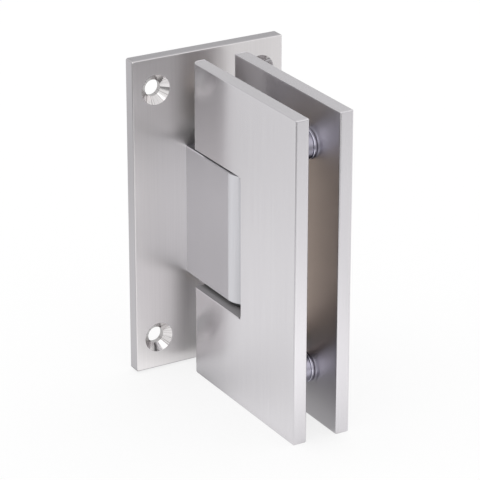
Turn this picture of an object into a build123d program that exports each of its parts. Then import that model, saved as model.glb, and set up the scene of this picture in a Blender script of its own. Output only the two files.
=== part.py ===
from build123d import *
import math
import os

# A wall-to-glass door hinge, in millimetres. The origin is the centre of the wall plate's back face.
# +Y points into the wall, -Y out along the glass, +X across the glass, +Z up along the hinge axis.

# Wall plate
wall_plate_height = 90.0
wall_plate_width = 46.0
wall_plate_thickness = 3.5
wall_plate_corner_radius = 0.6
wall_screw_hole_diameter = 4.6
wall_screw_head_diameter = 8.4
wall_screw_from_side = 7.0
wall_screw_from_end = 9.0

# Knuckle block
block_width = 14.0
block_height = 37.0
hinge_axis_from_wall = 26.0

# Pivot pin, its bushes and washers
pin_diameter = 6.0
pin_end_recess = 0.5
pin_end_chamfer = 0.4
pin_running_clearance = 0.04
pin_tunnel_clearance = 0.3
bush_wall = 1.5
bush_length = 8.5
washer_thickness = 0.9
washer_diameter = 12.0
washer_gap = 0.05

# Detent: flats on the pin, and two plungers with their springs
detent_flat_depth = 0.4
detent_flat_overrun = 0.8
plunger_diameter = 6.0
plunger_body_length = 6.0
plunger_spacing = 10.0
plunger_tip_chamfer = 0.5
plunger_bore_clearance = 0.1
plunger_to_pin_gap = 0.05
spring_outer_diameter = 5.0
spring_wire_diameter = 0.8
spring_turns = 5
spring_guide_clearance = 0.3
spring_guide_length = 3.0
spring_seat_gap = 0.05

# Clamp plates
clamp_plate_height = 90.0
clamp_plate_thickness = 4.0
clamp_plate_drop = 0.5
clamp_hinge_edge_from_wall = 9.5
clamp_hinge_edge_radius = 2.0
clamp_free_edge_from_wall = 62.5
clamp_edge_break = 0.45
glass_slot = 9.0
notch_past_washer = 0.5
notch_gap_to_nose = 2.0
notch_mouth_radius = 0.8
notch_root_radius = 1.3

# Pivot carrier, a brass C between the clamp plates
carrier_arm_height = 9.0
carrier_arm_reach = 6.0
carrier_spine_thickness = 4.8
carrier_set_back = 0.2
carrier_side_gap = 0.2
carrier_arm_end_radius = 2.0
carrier_inner_radius = 1.0

# Clamp posts
post_diameter = 8.6
post_from_free_edge = 14.9
post_from_end = 13.5
post_spigot_diameter = 6.0
post_spigot_length = 3.0
post_bead_width = 1.0
post_bead_radius = 0.35
post_groove_width = 0.5
post_groove_depth = 0.35

# Screws: thread, head, socket across flats and socket depth; lengths are overall
block_screw_length = 14.0
block_screw_spacing = 27.4
clamp_screw_length = 12.0
large_screw_thread = 5.0
large_screw_head = 9.2
large_screw_socket = 3.0
large_screw_socket_depth = 1.8
carrier_screw_thread = 4.0
carrier_screw_head = 7.4
carrier_screw_socket = 2.5
carrier_screw_socket_depth = 1.6
carrier_screw_engagement = 2.8
carrier_screw_from_notch = 0.5
grub_screw_thread = 3.0
grub_screw_length = 3.0
grub_screw_socket = 1.5
grub_screw_socket_depth = 1.4
grub_spot_depth = 0.3

# General clearances and edge breaks
thread_clearance = 0.05
seat_clearance = 0.02
screw_hole_clearance = 0.15
screw_head_recess = 0.1
screw_head_rim = 0.4
screw_tip_chamfer = 0.4
blind_hole_overrun = 0.3
edge_break = 0.3

# Places worked out from the sizes above, as distances along -Y from the wall
wall_front = -wall_plate_thickness
axis_y = -hinge_axis_from_wall
nose_radius = block_width / 2
block_top = block_height / 2
nose_end = axis_y - nose_radius
notch_root = nose_end - notch_gap_to_nose
hinge_edge = -clamp_hinge_edge_from_wall
free_edge = -clamp_free_edge_from_wall
clamp_middle = -clamp_plate_drop
slot_side = glass_slot / 2
plate_outside = slot_side + clamp_plate_thickness

pin_radius = pin_diameter / 2
bush_bore_radius = pin_radius + pin_running_clearance
bush_radius = bush_bore_radius + bush_wall
tunnel_radius = pin_radius + pin_tunnel_clearance

arm_inner = block_top + washer_gap + washer_thickness + washer_gap
arm_outer = arm_inner + carrier_arm_height
arm_middle = (arm_inner + arm_outer) / 2
arm_end = axis_y + carrier_arm_reach
notch_top = arm_inner + notch_past_washer
spine_inner = notch_root - carrier_set_back
spine_outer = spine_inner - carrier_spine_thickness
carrier_back = slot_side - carrier_side_gap

flat_half_length = block_top - bush_length - detent_flat_overrun
plunger_radius = plunger_diameter / 2
plunger_tip = axis_y + pin_radius + plunger_to_pin_gap
plunger_back = plunger_tip + plunger_body_length
plunger_bore_radius = plunger_radius + plunger_bore_clearance
plunger_height = plunger_spacing / 2
spring_inner_radius = spring_outer_diameter / 2 - spring_wire_diameter
spring_guide_radius = spring_inner_radius - spring_guide_clearance

post_y = free_edge + post_from_free_edge
post_height = clamp_plate_height / 2 - post_from_end
carrier_screw_y = notch_root - carrier_screw_from_notch
carrier_screw_end = -slot_side - carrier_screw_engagement
wall_screw_x = wall_plate_width / 2 - wall_screw_from_side
wall_screw_z = wall_plate_height / 2 - wall_screw_from_end
block_screw_height = block_screw_spacing / 2

sides = {"upper": 1, "lower": -1}


def rod_x(radius, start, end, y, z):
    return Pos((start + end) / 2, y, z) * Rot(0, 90, 0) * Cylinder(radius, abs(end - start))


def rod_y(radius, start, end, x, z):
    return Pos(x, (start + end) / 2, z) * Rot(90, 0, 0) * Cylinder(radius, abs(end - start))


def rod_z(radius, start, end, y):
    return Pos(0, y, (start + end) / 2) * Cylinder(radius, abs(end - start))


def block_between(low, high):
    """Box between two opposite corners."""
    size = [high[i] - low[i] for i in range(3)]
    middle = [(high[i] + low[i]) / 2 for i in range(3)]
    return Pos(*middle) * Box(*size)


def countersink(hole_radius, mouth_radius):
    """Cutter for a 90 degree countersink: its mouth is at the local origin and it narrows along -Z."""
    depth = mouth_radius - hole_radius
    return Pos(0, 0, -depth / 2) * Cone(hole_radius, mouth_radius, depth)


def countersunk_screw(thread, head, length, socket, socket_depth):
    """Countersunk socket screw along -Z, with the top of its head at the local origin."""
    thread_radius = thread / 2
    head_radius = head / 2
    cone_end = screw_head_rim + head_radius - thread_radius
    half_section = Polyline(
        (0, 0),
        (head_radius, 0),
        (head_radius, -screw_head_rim),
        (thread_radius, -cone_end),
        (thread_radius, screw_tip_chamfer - length),
        (thread_radius - screw_tip_chamfer, -length),
        (0, -length),
        close=True,
    )
    body = revolve(Plane.XZ * make_face(half_section), Axis.Z)
    hexagon = RegularPolygon(socket / 2, 6, major_radius=False)
    return body - extrude(hexagon, -socket_depth)


def large_screw(length):
    """The screw used for the knuckle block and for the clamp posts."""
    head = large_screw_head
    return countersunk_screw(large_screw_thread, head, length, large_screw_socket, large_screw_socket_depth)


def facing_wall(y, z):
    """Place for a screw whose head faces the wall, +Y."""
    return Pos(0, y, z) * Rot(-90, 0, 0)


def facing_back(x, y, z):
    """Place for a screw whose head faces the back of the clamp, +X."""
    return Pos(x, y, z) * Rot(0, 90, 0)


def make_wall_plate():
    plate = block_between(
        (-wall_plate_width / 2, wall_front, -wall_plate_height / 2),
        (wall_plate_width / 2, 0, wall_plate_height / 2),
    )
    plate = fillet(plate.edges().filter_by(Axis.Y), wall_plate_corner_radius)
    front_edges = plate.faces().sort_by(Axis.Y)[0].outer_wire().edges()
    plate = chamfer(front_edges, edge_break)
    hole_radius = wall_screw_hole_diameter / 2
    for x in (-wall_screw_x, wall_screw_x):
        for z in (-wall_screw_z, wall_screw_z):
            plate -= rod_y(hole_radius, 0, wall_front, x, z)
            mouth = Pos(x, wall_front, z) * Rot(90, 0, 0)
            plate -= mouth * countersink(hole_radius, wall_screw_head_diameter / 2)
    screw_radius = large_screw_thread / 2 + screw_hole_clearance
    for side in sides.values():
        height = side * block_screw_height
        plate -= rod_y(screw_radius, 0, wall_front, 0, height)
        recess_floor = -screw_head_recess - screw_head_rim
        head_radius = large_screw_head / 2 + screw_hole_clearance
        plate -= rod_y(head_radius, 0, recess_floor, 0, height)
        plate -= facing_wall(recess_floor, height) * countersink(screw_radius, head_radius)
    return plate


def make_knuckle_block():
    outline = Rectangle(block_width, wall_front - axis_y, align=(Align.CENTER, Align.MAX))
    outline = Pos(0, wall_front) * outline + Pos(0, axis_y) * Circle(nose_radius)
    block = Pos(0, 0, -block_top) * extrude(outline, block_height)
    ends = block.faces().filter_by(Axis.Z)
    rim = [edge for end in ends for edge in end.edges() if edge.center().Y < wall_front - edge_break]
    block = chamfer(rim, edge_break)
    block -= rod_z(tunnel_radius, -block_top, block_top, axis_y)
    for side in sides.values():
        seat_radius = bush_radius + seat_clearance
        block -= rod_z(seat_radius, side * (block_top - bush_length), side * block_top, axis_y)
        block -= rod_y(plunger_bore_radius, wall_front, axis_y, 0, side * plunger_height)
        hole_radius = large_screw_thread / 2 + thread_clearance
        hole_end = -screw_head_recess - block_screw_length - blind_hole_overrun
        block -= rod_y(hole_radius, wall_front, hole_end, 0, side * block_screw_height)
    return block


def make_block_screw(side):
    return facing_wall(-screw_head_recess, side * block_screw_height) * large_screw(block_screw_length)


def make_pin_bush(side):
    inner_end = side * (block_top - bush_length)
    outer_end = side * block_top
    bush = rod_z(bush_radius, inner_end, outer_end, axis_y)
    return bush - rod_z(bush_bore_radius, inner_end, outer_end, axis_y)


def make_thrust_washer(side):
    inner_face = side * (block_top + washer_gap)
    outer_face = inner_face + side * washer_thickness
    washer = rod_z(washer_diameter / 2, inner_face, outer_face, axis_y)
    return washer - rod_z(bush_bore_radius, inner_face, outer_face, axis_y)


def make_pivot_pin():
    """Round pin with three detent flats in its middle and a spot for each grub screw."""
    half_length = arm_outer - pin_end_recess
    pin = rod_z(pin_radius, -half_length, half_length, axis_y)
    pin = chamfer(pin.edges().filter_by(GeomType.CIRCLE), pin_end_chamfer)
    flat_from_axis = pin_radius - detent_flat_depth
    cutter = block_between(
        (-pin_radius, flat_from_axis, -flat_half_length),
        (pin_radius, pin_diameter, flat_half_length),
    )
    for turn in (-90, 0, 90):
        pin -= Pos(0, axis_y, 0) * Rot(0, 0, turn) * cutter
    spot_plane = axis_y + pin_radius - grub_spot_depth
    for side in sides.values():
        pin -= rod_y(grub_screw_thread / 2, spot_plane, axis_y + pin_diameter, 0, side * arm_middle)
    return pin


def make_detent_plunger(side):
    height = side * plunger_height
    plunger = rod_y(plunger_radius, plunger_back, plunger_tip, 0, height)
    tip_edge = plunger.faces().sort_by(Axis.Y)[0].edges()
    plunger = chamfer(tip_edge, plunger_tip_chamfer)
    return plunger + rod_y(spring_guide_radius, plunger_back, plunger_back + spring_guide_length, 0, height)


def make_detent_spring(side):
    """Round-wire compression spring between the plunger and the wall plate."""
    wire_radius = spring_wire_diameter / 2
    low = plunger_back + spring_seat_gap + wire_radius
    high = wall_front - spring_seat_gap - wire_radius
    coil_radius = spring_outer_diameter / 2 - wire_radius
    path = Helix((high - low) / spring_turns, high - low, coil_radius)
    section = Plane(origin=path @ 0, z_dir=path % 0) * Circle(wire_radius)
    coil = sweep(section, path=path, is_frenet=True)
    return Pos(0, low, side * plunger_height) * Rot(-90, 0, 0) * coil


def make_clamp_plate(inside, outside):
    """Notched plate between two X values. Its hinge-side edge is rounded towards the outside."""
    thickness = abs(outside - inside)
    middle = (inside + outside) / 2
    blank = block_between(
        (min(inside, outside), free_edge, clamp_middle - clamp_plate_height / 2),
        (max(inside, outside), hinge_edge, clamp_middle + clamp_plate_height / 2),
    )
    rounded_corner = (outside, hinge_edge, clamp_middle)
    upright_edges = blank.edges().filter_by(Axis.Z).sort_by_distance(rounded_corner)
    blank = fillet(upright_edges[1:], clamp_edge_break)
    upright_edges = blank.edges().filter_by(Axis.Z).sort_by_distance(rounded_corner)
    blank = fillet(upright_edges[0], clamp_hinge_edge_radius)
    ends = [edge for face in blank.faces().filter_by(Axis.Z) for edge in face.edges()]
    blank = fillet(ends, clamp_edge_break)
    return blank & Pos(middle, 0, 0) * make_notch_surround(thickness)


def make_notch_surround(thickness):
    """Slab larger than a clamp plate and as thick, with the notch cut and its edges broken."""
    slab = block_between(
        (-thickness / 2, free_edge - clamp_plate_thickness, -clamp_plate_height),
        (thickness / 2, hinge_edge + notch_mouth_radius / 2, clamp_plate_height),
    )
    slab -= extrude(Plane.YZ * make_notch_outline(), thickness, both=True)
    face_edges = [edge for face in slab.faces().filter_by(Axis.X) for edge in face.edges()]
    return chamfer([edge for edge in face_edges if borders_notch(edge.center())], edge_break)


def borders_notch(point):
    """Whether the middle of one of the slab's edges lies on the notch."""
    within_depth = notch_root - edge_break < point.Y < hinge_edge
    return within_depth and abs(point.Z) < notch_top + notch_mouth_radius / 2


def make_notch_outline():
    """Side view of the notch, in Y and Z: rounded in its two inner corners, flared at its mouth."""
    depth = hinge_edge - notch_root
    notch = Pos(notch_root, 0) * Rectangle(depth, 2 * notch_top, align=(Align.MIN, Align.CENTER))
    inner_corners = notch.vertices().group_by(Axis.X)[0]
    notch = fillet(inner_corners, notch_root_radius)
    mouth = Rectangle(2 * notch_mouth_radius, 2 * (notch_top + notch_mouth_radius))
    mouth = Pos(hinge_edge, 0) * mouth
    for side in (-1, 1):
        corner = Pos(hinge_edge - notch_mouth_radius, side * (notch_top + notch_mouth_radius))
        mouth -= corner * Circle(notch_mouth_radius)
    return notch + mouth


def make_front_clamp_plate():
    plate = make_clamp_plate(-slot_side, -plate_outside)
    for side in sides.values():
        spigot_radius = post_spigot_diameter / 2 + seat_clearance
        spigot_end = -slot_side - post_spigot_length - seat_clearance
        plate -= rod_x(spigot_radius, -slot_side, spigot_end, post_y, side * post_height)
        hole_radius = carrier_screw_thread / 2 + thread_clearance
        hole_end = carrier_screw_end - blind_hole_overrun
        plate -= rod_x(hole_radius, -slot_side, hole_end, carrier_screw_y, side * arm_middle)
    return plate


def make_back_clamp_plate():
    plate = make_clamp_plate(slot_side, plate_outside)
    hole_radius = large_screw_thread / 2 + screw_hole_clearance
    head_radius = large_screw_head / 2 + screw_hole_clearance
    recess_floor = plate_outside - screw_head_recess - screw_head_rim
    for side in sides.values():
        height = side * post_height
        plate -= rod_x(hole_radius, slot_side, plate_outside, post_y, height)
        plate -= rod_x(head_radius, recess_floor, plate_outside, post_y, height)
        plate -= facing_back(recess_floor, post_y, height) * countersink(hole_radius, head_radius)
    return plate


def make_pivot_carrier():
    """C-shaped carrier: two bored arms above and below the knuckle block, and a spine past its nose."""
    side_view = Rectangle(arm_end - spine_outer, 2 * arm_outer, align=(Align.MIN, Align.CENTER))
    side_view = Pos(spine_outer, 0) * side_view
    mouth = Rectangle(arm_end - spine_inner, 2 * arm_inner, align=(Align.MIN, Align.CENTER))
    mouth = fillet(mouth.vertices().group_by(Axis.X)[0], carrier_inner_radius)
    side_view -= Pos(spine_inner, 0) * mouth
    carrier = Pos(-slot_side, 0, 0) * extrude(Plane.YZ * side_view, carrier_back + slot_side)
    end_edges = [edge for edge in carrier.edges().filter_by(Axis.Z) if edge.center().Y > axis_y]
    carrier = fillet(end_edges, carrier_arm_end_radius)
    for side in sides.values():
        height = side * arm_middle
        carrier -= rod_z(pin_radius + seat_clearance, side * arm_inner, side * arm_outer, axis_y)
        hole_radius = carrier_screw_thread / 2 + screw_hole_clearance
        head_radius = carrier_screw_head / 2 + screw_hole_clearance
        recess_floor = carrier_back - screw_head_recess - screw_head_rim
        carrier -= rod_x(hole_radius, -slot_side, carrier_back, carrier_screw_y, height)
        carrier -= rod_x(head_radius, recess_floor, carrier_back, carrier_screw_y, height)
        carrier -= facing_back(recess_floor, carrier_screw_y, height) * countersink(hole_radius, head_radius)
        carrier -= rod_y(grub_screw_thread / 2 + thread_clearance, axis_y, arm_end, 0, height)
    return carrier


def make_carrier_screw(side):
    head_top = carrier_back - screw_head_recess
    screw = countersunk_screw(
        carrier_screw_thread,
        carrier_screw_head,
        head_top - carrier_screw_end,
        carrier_screw_socket,
        carrier_screw_socket_depth,
    )
    return facing_back(head_top, carrier_screw_y, side * arm_middle) * screw


def make_pin_grub_screw(side):
    tip = axis_y + pin_radius - grub_spot_depth
    height = side * arm_middle
    screw = rod_y(grub_screw_thread / 2, tip, tip + grub_screw_length, 0, height)
    hexagon = extrude(RegularPolygon(grub_screw_socket / 2, 6, major_radius=False), -grub_screw_socket_depth)
    return screw - facing_wall(tip + grub_screw_length, height) * hexagon


def make_clamp_post(side):
    """Turned post: its spigot sits in the front plate and its beaded end meets the back plate."""
    height = side * post_height
    neck_start = slot_side - post_bead_width - post_groove_width
    bead_start = slot_side - post_bead_width
    bead = rod_x(post_diameter / 2, bead_start, slot_side, post_y, height)
    post = fillet(bead.edges().filter_by(GeomType.CIRCLE), post_bead_radius)
    post += rod_x(post_diameter / 2 - post_groove_depth, neck_start, bead_start, post_y, height)
    post += rod_x(post_diameter / 2, -slot_side, neck_start, post_y, height)
    post += rod_x(post_spigot_diameter / 2, -slot_side - post_spigot_length, -slot_side, post_y, height)
    thread_end = plate_outside - screw_head_recess - clamp_screw_length - blind_hole_overrun
    return post - rod_x(large_screw_thread / 2 + thread_clearance, thread_end, slot_side, post_y, height)


def make_clamp_screw(side):
    head_top = plate_outside - screw_head_recess
    return facing_back(head_top, post_y, side * post_height) * large_screw(clamp_screw_length)


single_pieces = {
    "wall_plate": make_wall_plate,
    "knuckle_block": make_knuckle_block,
    "pivot_pin": make_pivot_pin,
    "pivot_carrier": make_pivot_carrier,
    "front_clamp_plate": make_front_clamp_plate,
    "back_clamp_plate": make_back_clamp_plate,
}
paired_pieces = {
    "block_screw": make_block_screw,
    "pin_bush": make_pin_bush,
    "thrust_washer": make_thrust_washer,
    "detent_plunger": make_detent_plunger,
    "detent_spring": make_detent_spring,
    "pin_grub_screw": make_pin_grub_screw,
    "carrier_screw": make_carrier_screw,
    "clamp_post": make_clamp_post,
    "clamp_screw": make_clamp_screw,
}

os.makedirs("parts", exist_ok=True)
for name, make in single_pieces.items():
    export_step(make(), f"parts/{name}.step")
for name, make in paired_pieces.items():
    for place, side in sides.items():
        export_step(make(side), f"parts/{name}_{place}.step")
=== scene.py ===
import math

import bpy
from mathutils import Matrix, Vector


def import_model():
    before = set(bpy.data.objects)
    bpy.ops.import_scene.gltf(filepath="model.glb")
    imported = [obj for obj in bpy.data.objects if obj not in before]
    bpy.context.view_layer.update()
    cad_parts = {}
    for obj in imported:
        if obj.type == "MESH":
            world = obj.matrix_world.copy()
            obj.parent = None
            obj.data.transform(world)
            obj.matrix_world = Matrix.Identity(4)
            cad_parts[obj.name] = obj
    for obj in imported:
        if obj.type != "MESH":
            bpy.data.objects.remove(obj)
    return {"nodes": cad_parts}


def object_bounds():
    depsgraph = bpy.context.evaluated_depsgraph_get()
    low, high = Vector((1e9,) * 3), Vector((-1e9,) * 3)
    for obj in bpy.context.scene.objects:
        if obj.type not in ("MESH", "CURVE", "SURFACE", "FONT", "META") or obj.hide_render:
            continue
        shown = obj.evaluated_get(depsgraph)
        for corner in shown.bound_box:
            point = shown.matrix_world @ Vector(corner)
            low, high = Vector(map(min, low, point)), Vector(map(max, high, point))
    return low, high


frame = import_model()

cad_low, cad_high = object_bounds()
nodes = frame["nodes"]
MM = 0.001


def deselect_all():
    bpy.ops.object.select_all(action="DESELECT")


def nearest(name, axis):
    """Least distance of a piece from the frame's origin along one axis, in millimetres."""
    return min(abs(corner[axis]) for corner in nodes[name].bound_box) / MM


def furthest(name, axis):
    """Largest distance of a piece from the frame's origin along one axis, in millimetres."""
    return max(abs(corner[axis]) for corner in nodes[name].bound_box) / MM


# ---------------------------------------------------------------- camera

# Where the camera stands and the point it looks at, in degrees and millimetres, as a fit gave them.
CAMERA_AZIMUTH = -30.16
CAMERA_ELEVATION = 22.686
CAMERA_DISTANCE = 715.62
CAMERA_TARGET = (-2.731, -25, -2.099)
SENSOR_WIDTH = 36
LENS = 201.7


def place_camera():
    azimuth = math.radians(CAMERA_AZIMUTH)
    elevation = math.radians(CAMERA_ELEVATION)
    back = Vector((
        math.sin(azimuth) * math.cos(elevation),
        -math.cos(azimuth) * math.cos(elevation),
        math.sin(elevation),
    ))
    right = Vector((math.cos(azimuth), math.sin(azimuth), 0))
    turn = Matrix((right, back.cross(right), back)).transposed()
    data = bpy.data.cameras.new("studio_camera")
    data.sensor_width = SENSOR_WIDTH
    data.lens = LENS
    data.clip_start = 0.01
    data.clip_end = 10
    camera = bpy.data.objects.new("studio_camera", data)
    bpy.context.scene.collection.objects.link(camera)
    stand = (Vector(CAMERA_TARGET) + back * CAMERA_DISTANCE) * MM
    camera.matrix_world = Matrix.Translation(stand) @ turn.to_4x4()
    bpy.context.scene.camera = camera


# ---------------------------------------------------------------- wiring

class Wiring:
    """Builds one material's nodes."""

    def __init__(self, name):
        self.material = bpy.data.materials.new(name)
        self.material.use_nodes = True
        self.tree = self.material.node_tree
        self.tree.nodes.clear()
        self.output = self.add("ShaderNodeOutputMaterial")

    def add(self, kind, **settings):
        node = self.tree.nodes.new(kind)
        for key, value in settings.items():
            setattr(node, key, value)
        return node

    def link(self, start, end):
        self.tree.links.new(start, end)

    def place(self):
        """Place on the object, in metres."""
        return self.add("ShaderNodeTexCoord").outputs["Object"]

    def feed(self, socket, value):
        if isinstance(value, (int, float, tuple)):
            socket.default_value = value
        else:
            self.link(value, socket)

    def vector(self, operation, first, second=None):
        node = self.add("ShaderNodeVectorMath", operation=operation)
        self.feed(node.inputs[0], first)
        if second is not None:
            self.feed(node.inputs[1], second)
        single = operation in ("LENGTH", "DOT_PRODUCT")
        return node.outputs["Value" if single else "Vector"]

    def math(self, operation, first, second=None):
        node = self.add("ShaderNodeMath", operation=operation)
        self.feed(node.inputs[0], first)
        if second is not None:
            self.feed(node.inputs[1], second)
        return node.outputs[0]

    def fade(self, value, start, end, at_start, at_end, smooth=True):
        node = self.add("ShaderNodeMapRange", interpolation_type="SMOOTHSTEP" if smooth else "LINEAR")
        self.feed(node.inputs["Value"], value)
        for number, setting in enumerate((start, end, at_start, at_end), 1):
            self.feed(node.inputs[number], setting)
        return node.outputs["Result"]


class Shader(Wiring):
    """A metal or plastic surface with its marks."""

    def __init__(self, name, color, metallic=1.0, roughness=0.3):
        super().__init__(name)
        self.principled = self.add("ShaderNodeBsdfPrincipled")
        self.link(self.principled.outputs[0], self.output.inputs[0])
        self.set("Base Color", (*color, 1))
        self.set("Metallic", metallic)
        self.set("Roughness", roughness)

    def set(self, socket, value):
        self.feed(self.principled.inputs[socket], value)

    def noise(self, stretch, size, detail=2.0):
        node = self.add("ShaderNodeTexNoise")
        self.link(self.vector("MULTIPLY", self.place(), stretch), node.inputs["Vector"])
        node.inputs["Scale"].default_value = size
        node.inputs["Detail"].default_value = detail
        return node.outputs["Fac"]

    def along(self, place, axis):
        """One of a place's three coordinates."""
        node = self.add("ShaderNodeSeparateXYZ")
        self.link(place, node.inputs[0])
        return node.outputs[axis]

    def blend(self, factor, first, second):
        node = self.add("ShaderNodeMix", data_type="RGBA")
        self.feed(node.inputs["Factor"], factor)
        self.feed(node.inputs["A"], first if not isinstance(first, tuple) else (*first, 1))
        self.feed(node.inputs["B"], second if not isinstance(second, tuple) else (*second, 1))
        return node.outputs["Result"]

    def bump(self, height, strength, depth):
        """Relief whose full height is depth millimetres."""
        node = self.add("ShaderNodeBump")
        node.inputs["Strength"].default_value = strength
        node.inputs["Distance"].default_value = depth * MM
        self.link(height, node.inputs["Height"])
        self.set("Normal", node.outputs[0])


# ---------------------------------------------------------------- materials

STEEL = (0.565, 0.55, 0.57)
BLOCK_STEEL = (0.52, 0.515, 0.54)
PALE_STEEL = (0.785, 0.76, 0.765)
BRASS = (0.88, 0.76, 0.62)
GROUND = (0.56, 0.56, 0.58)
PLATED = (0.60, 0.60, 0.62)
POST = (0.54, 0.53, 0.61)
WIRE = (0.42, 0.42, 0.44)
BLACK = (0.03, 0.03, 0.032)
# Painted shade on the knuckle block's top and bottom ends.
PAINTED_SHADE_BLOCK_END = (0.12, 0.12, 0.13)
# Painted shade on the clamp plates' notch walls.
PAINTED_SHADE_NOTCH_WALL = (0.33, 0.32, 0.33)
# Painted light on the clamp plates' hinge edge.
PAINTED_LIGHT_HINGE_EDGE = (0.85, 0.84, 0.85)
SPOKE_DULL = (0.42, 0.40, 0.40)
SPOKE_BRIGHT = (0.70, 0.68, 0.68)
# Directions in which the brushed faces blur what they mirror.
SIDEWAYS = (1.0, 0.3, 0.1)
UPWARDS = (0.08, 0.13, 1.0)

# Lengths that the finishes follow, in millimetres from the frame's origin.
PLATE_HALF_WIDTH = furthest("wall_plate", 0)
PLATE_HALF_HEIGHT = furthest("wall_plate", 2)
PLATE_FRONT = furthest("wall_plate", 1)
HOLE_ACROSS = PLATE_HALF_WIDTH - 7
HOLE_UP = PLATE_HALF_HEIGHT - 9
COUNTERSINK_RADIUS = 4.2
BLOCK_HALF_HEIGHT = furthest("knuckle_block", 2)
CLAMP_INSIDE = nearest("front_clamp_plate", 0)
CLAMP_HINGE_EDGE = nearest("front_clamp_plate", 1)
NOTCH_HALF_HEIGHT = furthest("thrust_washer_upper", 2) + 0.55
NOTCH_ROOT = furthest("knuckle_block", 1) + 2


def tint(color, factor):
    return tuple(min(1.0, channel * factor) for channel in color)


def brushed_steel(name, color, rough, directional, blurred_along, contrast=0.018, relief=0.06):
    """Satin steel with a fine grain along Z, that blurs what it mirrors mostly along one direction."""
    shader = Shader(name, color, 1.0, rough)
    shader.set("Anisotropic", directional)
    direction = shader.add("ShaderNodeCombineXYZ")
    for number, part in enumerate(blurred_along):
        shader.feed(direction.inputs[number], part)
    shader.set("Tangent", direction.outputs[0])
    grain = shader.noise((1, 1, 0.012), 3200)
    cloud = shader.noise((1, 1, 0.35), 60)
    tone = shader.fade(grain, 0.3, 0.7, 0.0, 1.0, smooth=False)
    shader.color = shader.blend(tone, tint(color, 1 - contrast), tint(color, 1 + contrast))
    shader.rough = shader.fade(cloud, 0.3, 0.7, rough - 0.02, rough + 0.02, smooth=False)
    shader.set("Base Color", shader.color)
    shader.set("Roughness", shader.rough)
    shader.bump(grain, relief, 0.01)
    return shader


def at_rim(shader, place, rim):
    """1 on the plate's side at the rim, falling to 0 within 0.28 mm of it."""
    return shader.fade(place, (rim - 0.28) * MM, (rim - 0.05) * MM, 0.0, 1.0)


def wall_plate_steel():
    """Brushed front, sides and ends a little rougher and painted darker as shade, and smoother turned
    countersinks whose colour runs in dull and bright spokes round each hole.
    """
    shader = brushed_steel("wall_plate_steel", PALE_STEEL, 0.31, 0.85, SIDEWAYS)
    folded = shader.vector("ABSOLUTE", shader.place())
    side = at_rim(shader, shader.along(folded, 0), PLATE_HALF_WIDTH)
    end = at_rim(shader, shader.along(folded, 2), PLATE_HALF_HEIGHT)
    painted_shade_faces = shader.math("MAXIMUM", side, end)
    # Painted shade: the plate's sides and ends take a darker colour than its front.
    color = shader.blend(painted_shade_faces, shader.color, tint(STEEL, 0.77))
    hole = (HOLE_ACROSS * MM, 0, HOLE_UP * MM)
    from_hole = shader.vector("MULTIPLY", shader.vector("SUBTRACT", folded, hole), (1, 0, 1))
    spread = shader.vector("LENGTH", from_hole)
    mouth = ((COUNTERSINK_RADIUS - 0.05) * MM, (COUNTERSINK_RADIUS + 0.1) * MM)
    off_back = shader.fade(shader.along(folded, 1), 0.02 * MM, 0.06 * MM, 0.0, 1.0)
    turned = shader.math("MULTIPLY", shader.fade(spread, *mouth, 1.0, 0.0), off_back)
    spoke = shader.add("ShaderNodeTexNoise")
    spoke.inputs["Scale"].default_value = 9
    shader.link(shader.vector("NORMALIZE", from_hole), spoke.inputs["Vector"])
    spoke_tone = shader.fade(spoke.outputs["Fac"], 0.36, 0.46, 0.0, 1.0)
    bright = shader.blend(spoke_tone, SPOKE_DULL, SPOKE_BRIGHT)
    shader.set("Base Color", shader.blend(turned, color, bright))
    rough = shader.math("ADD", shader.rough, shader.fade(painted_shade_faces, 0, 1, 0, 0.05))
    smoother = shader.math("MULTIPLY", rough, shader.fade(turned, 0, 1, 1, 0.45))
    shader.set("Roughness", smoother)
    return shader.material


def block_steel():
    """Brushed block whose top and bottom ends are rougher and painted dark as shade."""
    shader = brushed_steel("block_steel", BLOCK_STEEL, 0.22, 0.8, UPWARDS)
    folded = shader.vector("ABSOLUTE", shader.place())
    up = shader.along(folded, 2)
    end = shader.fade(up, (BLOCK_HALF_HEIGHT - 0.08) * MM, (BLOCK_HALF_HEIGHT - 0.02) * MM, 0.0, 1.0)
    # Painted shade: the block's ends take a dark colour.
    shader.set("Base Color", shader.blend(end, shader.color, PAINTED_SHADE_BLOCK_END))
    shader.set("Roughness", shader.math("ADD", shader.rough, shader.fade(end, 0.0, 1.0, 0.0, 0.25)))
    return shader.material


def before(shader, place, length, start, end, full=1.0):
    """Full up to start past a length, and 0 from end past it."""
    return shader.fade(place, (length + start) * MM, (length + end) * MM, full, 0.0)


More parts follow.
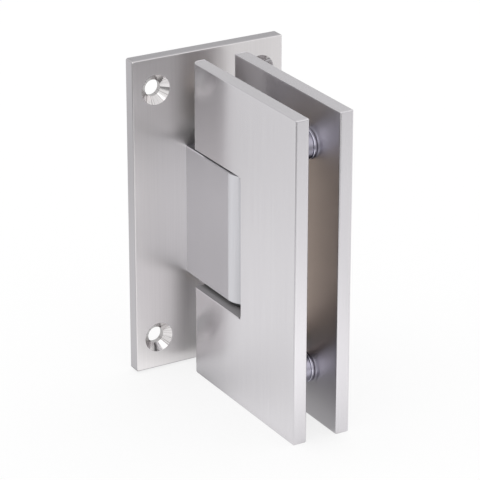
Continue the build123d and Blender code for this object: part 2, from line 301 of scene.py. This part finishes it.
def clamp_steel(name, rough, inside_rough):
    """Finer outside, and hazier on the inside, the notch's walls and the hinge edge; painted light
    makes the inside and the hinge edge lighter, and painted shade makes the notch's walls darker.
    """
    shader = brushed_steel(name, STEEL, rough, 0.9, UPWARDS)
    folded = shader.vector("ABSOLUTE", shader.place())
    out = shader.along(folded, 1)
    inside = before(shader, shader.along(folded, 0), CLAMP_INSIDE, 0.05, 0.15, inside_rough - rough)
    notch_height = before(shader, shader.along(folded, 2), NOTCH_HALF_HEIGHT, 0.04, 0.1)
    notch_depth = before(shader, out, NOTCH_ROOT, 0.04, 0.1)
    painted_shade_faces = shader.math("MULTIPLY", notch_height, notch_depth)
    hinge_end = before(shader, out, CLAMP_HINGE_EDGE, 0.1, 1.1)
    duller_walls = shader.math("MULTIPLY", painted_shade_faces, 0.45)
    duller = shader.math("ADD", duller_walls, shader.math("MULTIPLY", hinge_end, 0.40))
    shader.set("Roughness", shader.math("ADD", shader.math("ADD", shader.rough, inside), duller))
    inside_painted_light_share = shader.fade(inside, 0.0, inside_rough - rough, 0.0, 1.0)
    # Painted light: the milled inside takes a lighter colour than the outside.
    inside_painted_light = shader.blend(inside_painted_light_share, shader.color, tint(STEEL, 1.07))
    # Painted light: the hinge edge takes a lighter colour.
    outer = shader.blend(hinge_end, inside_painted_light, PAINTED_LIGHT_HINGE_EDGE)
    # Painted shade: the notch's walls take a darker colour.
    shader.set("Base Color", shader.blend(painted_shade_faces, outer, PAINTED_SHADE_NOTCH_WALL))
    return shader.material


def turned_metal(name, color, rough, stretch=(1, 0.03, 0.03), metallic=1.0):
    """Lathe marks run round the axis that stretch leaves at 1."""
    shader = Shader(name, color, metallic, rough)
    marks = shader.noise(stretch, 2400)
    wear = shader.noise((1, 1, 1), 300, 3.0)
    shader.set("Roughness", shader.fade(wear, 0.3, 0.7, rough - 0.04, rough + 0.05, smooth=False))
    tone = shader.fade(marks, 0.3, 0.7, 0.0, 1.0, smooth=False)
    shader.set("Base Color", shader.blend(tone, tint(color, 0.95), tint(color, 1.05)))
    shader.bump(marks, 0.15, 0.01)
    return shader.material


def pair(name):
    return [name + "_upper", name + "_lower"]


def dress(material, *names):
    for name in names:
        slots = nodes[name].data.materials
        slots.clear()
        slots.append(material)


def dress_all():
    dress(wall_plate_steel(), "wall_plate")
    dress(block_steel(), "knuckle_block")
    for side in ("front", "back"):
        dress(clamp_steel(side + "_clamp_steel", 0.25, 0.32), side + "_clamp_plate")
    dress(turned_metal("milled_brass", BRASS, 0.28, (0.05, 0.05, 1)), "pivot_carrier")
    dress(turned_metal("ground_pin_steel", GROUND, 0.18, (0.03, 0.03, 1)), "pivot_pin")
    dress(turned_metal("ground_plunger_steel", GROUND, 0.2, (0.03, 1, 0.03)), *pair("detent_plunger"))
    dress(turned_metal("plated_post", POST, 0.18), *pair("clamp_post"))
    dress(turned_metal("plated_screw", PLATED, 0.25), *pair("clamp_screw"), *pair("carrier_screw"))
    dress(turned_metal("plated_wall_screw", PLATED, 0.25, (0.03, 1, 0.03)),
          *pair("block_screw"), *pair("pin_grub_screw"))
    dress(turned_metal("drawn_wire", WIRE, 0.3, (1, 1, 1)), *pair("detent_spring"))
    dress(turned_metal("black_acetal", BLACK, 0.5, (0.03, 0.03, 1), 0.0),
          *pair("pin_bush"), *pair("thrust_washer"))


# ---------------------------------------------------------------- studio

# Soft round patches of light and shade on the table, which the metal alone mirrors: centre across
# and along the glass, radius, and strength added to the glow, with lengths in millimetres.
# These strengths, the glow, the edge's loss and the panels' strengths were first worked out by a
# least-squares fit of trial renders, and then rounded. Only under_slot and the flag never
# came from it, and behind_holes was changed after it.
TABLE_PATCHES = {
    "left_middle": (-85, -150, 85, 0.2),
    "front_near": (5, -130, 70, 0.8),
    "right_far": (115, -240, 120, 0.3),
    "left_corner": (-18, -18, 32, -0.2),
    "side_near": (-75, -50, 60, -0.3),
    "side_far": (-190, -130, 130, -0.2),
    "under_slot": (3, -12, 25, -0.65),
    "wall_far": (-120, 160, 120, -0.3),
}
TABLE_GLOW = 1.2
# The table darkens towards its front edge: the way to that edge, and where the fall starts and ends.
EDGE_DIRECTION = math.radians(238)
EDGE_FALL = (168, 205)
EDGE_LOSS = -0.85
# Shade on the table under the wall plate and under the glass slot: two corners, and how far it spreads.
CONTACT_SHADE = 0.55
CONTACT_BOXES = (
    ((-PLATE_HALF_WIDTH, -PLATE_FRONT, 0), (PLATE_HALF_WIDTH, 0, 0), 1.5),
    ((-3, -58, 0), (3, -14, 0), 8),
)
# The table as the camera sees it: nearly white, with enough matte in it to keep the object's shadow.
TABLE_SIZE = 8
TABLE_WHITE = 1.04
TABLE_MATTE = (0.9, 0.9, 0.9, 1)
MATTE_SHARE = 0.25


def distance_to_box(table, place, low, high):
    """Distance along the table to an upright box of the object."""
    middle = (Vector(low) + Vector(high)) / 2
    half = (Vector(high) - Vector(low)) / 2
    from_middle = table.vector("SUBTRACT", place, (middle.x, middle.y, 0.0))
    outside = table.vector("SUBTRACT", table.vector("ABSOLUTE", from_middle), (half.x, half.y, 1.0))
    return table.vector("LENGTH", table.vector("MAXIMUM", outside, (0.0, 0.0, 0.0)))


def mirrored_table(table):
    """Strength of the table in the metal's reflections."""
    place = table.place()
    glow = TABLE_GLOW
    for across, along, radius, strength in TABLE_PATCHES.values():
        from_middle = table.vector("SUBTRACT", place, (across * MM, along * MM, 0.0))
        patch = table.fade(table.vector("LENGTH", from_middle), 0.0, radius * MM, strength, 0.0)
        glow = table.math("ADD", glow, patch)
    to_edge = (math.cos(EDGE_DIRECTION), math.sin(EDGE_DIRECTION), 0.0)
    outward = table.vector("DOT_PRODUCT", place, to_edge)
    start, end = EDGE_FALL
    glow = table.math("ADD", glow, table.fade(outward, start * MM, end * MM, 0.0, EDGE_LOSS))
    for low, high, reach in CONTACT_BOXES:
        gap = distance_to_box(table, place, Vector(low) * MM, Vector(high) * MM)
        glow = table.math("MULTIPLY", glow, table.fade(gap, 0.0, reach * MM, 1 - CONTACT_SHADE, 1.0))
    return glow


def make_table():
    deselect_all()
    bpy.ops.mesh.primitive_plane_add(size=TABLE_SIZE, location=(0, 0, cad_low.z))
    plane = bpy.context.object
    plane.name = "studio_table"
    table = Wiring("studio_table")
    mirrored = table.add("ShaderNodeEmission")
    table.link(mirrored_table(table), mirrored.inputs["Strength"])
    matte = table.add("ShaderNodeBsdfDiffuse")
    matte.inputs["Color"].default_value = TABLE_MATTE
    white = table.add("ShaderNodeEmission")
    white.inputs["Strength"].default_value = TABLE_WHITE
    seen = table.add("ShaderNodeMixShader")
    seen.inputs[0].default_value = MATTE_SHARE
    table.link(white.outputs[0], seen.inputs[1])
    table.link(matte.outputs[0], seen.inputs[2])
    either = table.add("ShaderNodeMixShader")
    table.link(table.add("ShaderNodeLightPath").outputs["Is Glossy Ray"], either.inputs[0])
    table.link(seen.outputs[0], either.inputs[1])
    table.link(mirrored.outputs[0], either.inputs[2])
    table.link(either.outputs[0], table.output.inputs[0])
    plane.data.materials.append(table.material)


# Panels that stand round the object, seen only in the metal: a corner, the two sides that leave it
# and the strength, with lengths in millimetres.
CARDS = (
    ("behind_low", (-60, 40, 46), (240, 0, 0), (0, 0, 26), 0.85),
    ("behind_high", (-100, 40, 72), (320, 0, 0), (0, 20, 60), 0.9),
    ("overhead", (-220, -330, 170), (440, 0, 0), (0, 150, 130), 1.65),
    ("front_panel", (-220, -260, 40), (200, -120, 0), (0, 0, 160), 1.5),
    ("behind_holes", (-PLATE_HALF_WIDTH, 0.3, -PLATE_HALF_HEIGHT),
     (2 * PLATE_HALF_WIDTH, 0, 0), (0, 0, 2 * PLATE_HALF_HEIGHT), 0.60),
)


# A dim round flag that the wall plate's right half mirrors: full within its core, clear at its rim.
FLAG_MIDDLE = (39, -45, 21)
FLAG_CORE = 8
FLAG_RADIUS = 30
FLAG_STRENGTH = 0.75


def show_only_in_metal(panel):
    panel.visible_camera = False
    panel.visible_diffuse = False
    panel.visible_shadow = False
    panel.visible_transmission = False


def make_card(name, corner, across, up, strength):
    deselect_all()
    bpy.ops.mesh.primitive_plane_add(size=1)
    panel = bpy.context.object
    panel.name = name
    steps = ((0, 0), (1, 0), (0, 1), (1, 1))
    for vertex, (step_across, step_up) in zip(panel.data.vertices, steps):
        vertex.co = (Vector(corner) + Vector(across) * step_across + Vector(up) * step_up) * MM
    card = Wiring(name)
    glow = card.add("ShaderNodeEmission")
    glow.inputs["Strength"].default_value = strength
    card.link(glow.outputs[0], card.output.inputs[0])
    panel.data.materials.append(card.material)
    show_only_in_metal(panel)


def make_flag():
    deselect_all()
    bpy.ops.mesh.primitive_circle_add(radius=FLAG_RADIUS * MM, fill_type="NGON")
    panel = bpy.context.object
    panel.name = "right_flag"
    for vertex in panel.data.vertices:
        vertex.co = Vector(FLAG_MIDDLE) * MM + Vector((vertex.co.x, 0.0, vertex.co.y))
    flag = Wiring("right_flag")
    glow = flag.add("ShaderNodeEmission")
    glow.inputs["Strength"].default_value = FLAG_STRENGTH
    clear = flag.add("ShaderNodeBsdfTransparent")
    from_middle = flag.vector("SUBTRACT", flag.place(), tuple(Vector(FLAG_MIDDLE) * MM))
    rim = flag.fade(flag.vector("LENGTH", from_middle), FLAG_CORE * MM, FLAG_RADIUS * MM, 1.0, 0.0)
    soft = flag.add("ShaderNodeMixShader")
    flag.link(rim, soft.inputs[0])
    flag.link(clear.outputs[0], soft.inputs[1])
    flag.link(glow.outputs[0], soft.inputs[2])
    flag.link(soft.outputs[0], flag.output.inputs[0])
    panel.data.materials.append(flag.material)
    show_only_in_metal(panel)


def light_world():
    world = bpy.data.worlds.new("studio")
    bpy.context.scene.world = world
    world.use_nodes = True
    background = world.node_tree.nodes["Background"]
    background.inputs["Color"].default_value = (1, 1, 1, 1)
    background.inputs["Strength"].default_value = 1.0


place_camera()
dress_all()
make_table()
for card in CARDS:
    make_card(*card)
make_flag()
light_world()
bpy.context.scene.view_settings.view_transform = "Standard"
